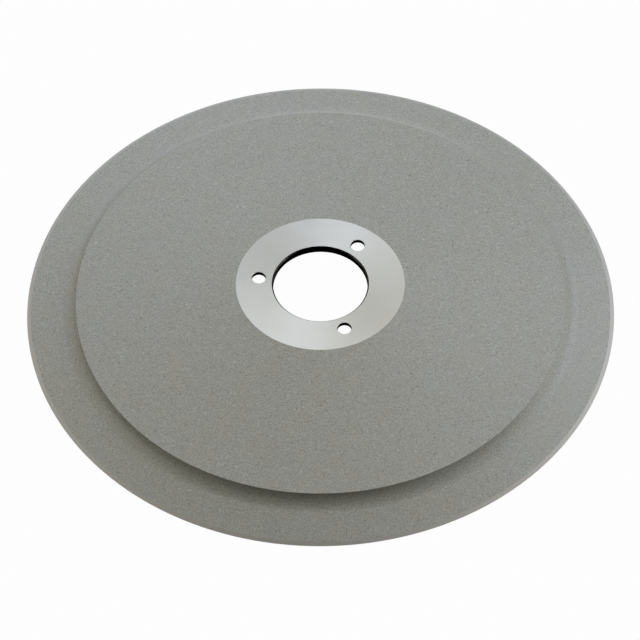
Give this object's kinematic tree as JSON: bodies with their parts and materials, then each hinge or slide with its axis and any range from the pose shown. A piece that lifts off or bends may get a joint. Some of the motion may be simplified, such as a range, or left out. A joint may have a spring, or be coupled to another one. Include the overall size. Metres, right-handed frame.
{
  "type": "coated circular blade",
  "caption": "Shallow dished steel disc with a granular coating, bare turned hub seat, central bore, fixing holes and a ground bevelled rim; turns on a spindle to cut.",
  "frame": {"origin": "centre of the rim plane, on the bore axis", "axes": "+Z along the bore axis from the rim plane to the hub seat; one fixing hole is 52.4 degrees from +X towards +Y, and the others follow at 120 degrees"},
  "size_m": [0.25, 0.25, 0.0175],
  "materials": {
    "turned_steel": "fine turned and ground, bright",
    "bond_coat": "matte",
    "top_coat": "matte, fine granular"
  },
  "bodies": {
    "root": {"steel_disc": "turned_steel", "front_bond_coat": "bond_coat", "front_top_coat": "top_coat", "rear_bond_coat": "bond_coat", "rear_top_coat": "top_coat"}
  },
  "joints": []
}
